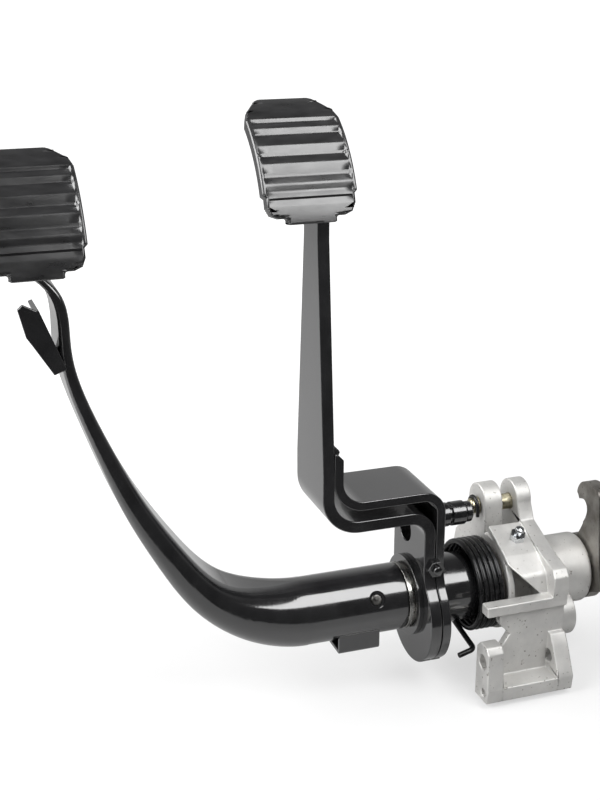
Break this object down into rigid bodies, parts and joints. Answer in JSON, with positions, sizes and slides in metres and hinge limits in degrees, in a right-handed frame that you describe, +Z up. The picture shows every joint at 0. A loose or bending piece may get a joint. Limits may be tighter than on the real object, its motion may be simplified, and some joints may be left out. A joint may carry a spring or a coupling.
{
  "type": "clutch and brake pedal assembly",
  "caption": "Hanging clutch lever and brake lever with ribbed rubber pads, turning on one shaft in a cast aluminium bracket.",
  "frame": {"origin": "on the pedal shaft's axis, 1 mm left of the brake lever's left face", "axes": "+X along the shaft from the clutch pedal to the bracket, -Y towards the driver, +Z up"},
  "size_m": [0.3728, 0.1087, 0.3524],
  "materials": {
    "cast_aluminium": "bare die casting",
    "bush_bronze": "sintered bronze",
    "zinc_steel": "zinc plated",
    "black_spring_steel": "black oiled wire",
    "black_paint": "gloss black enamel",
    "black_pin_steel": "black oxide",
    "black_rubber": "moulded",
    "bright_steel": "turned",
    "forged_steel": "forged, lightly oxidised"
  },
  "bodies": {
    "bracket": {"mounting_casting": "cast_aluminium", "casting_bush_left": "bush_bronze", "casting_bush_right": "bush_bronze", "web_grease_nipple": "zinc_steel", "accelerator_pin": "zinc_steel", "pin_clip": "black_spring_steel", "return_spring": "black_spring_steel"},
    "brake_pedal": {"brake_arm": "black_paint", "brake_brace": "black_paint", "brake_hub": "black_paint", "brake_bush_left": "bush_bronze", "brake_bush_right": "bush_bronze", "pushrod_pin": "black_pin_steel", "brake_grease_nipple": "black_pin_steel", "brake_pad_plate": "black_paint", "brake_pad_rubber": "black_rubber"},
    "clutch_pedal": {"clutch_arm": "black_paint", "clutch_pad_plate": "black_paint", "clutch_pad_rubber": "black_rubber", "clutch_shaft": "bright_steel", "cross_pin": "black_pin_steel", "stop_tag": "black_paint", "stop_channel": "black_paint", "thrust_washer": "bright_steel", "cable_hook": "forged_steel", "hook_washer": "bright_steel"}
  },
  "joints": [
    {"name": "brake_swing", "type": "hinge", "parent": "bracket", "child": "brake_pedal", "pos_m": [0, 0, 0], "axis": [-1, 0, 0], "range_deg": [0, 22], "stiffness_Nm_per_rad": 0.9, "springref_deg": -34.38, "deforming": ["return_spring"]},
    {"name": "clutch_swing", "type": "hinge", "parent": "bracket", "child": "clutch_pedal", "pos_m": [0, 0, 0], "axis": [-1, 0, 0], "range_deg": [0, 28], "stiffness_Nm_per_rad": 1.2, "springref_deg": -34.38}
  ]
}
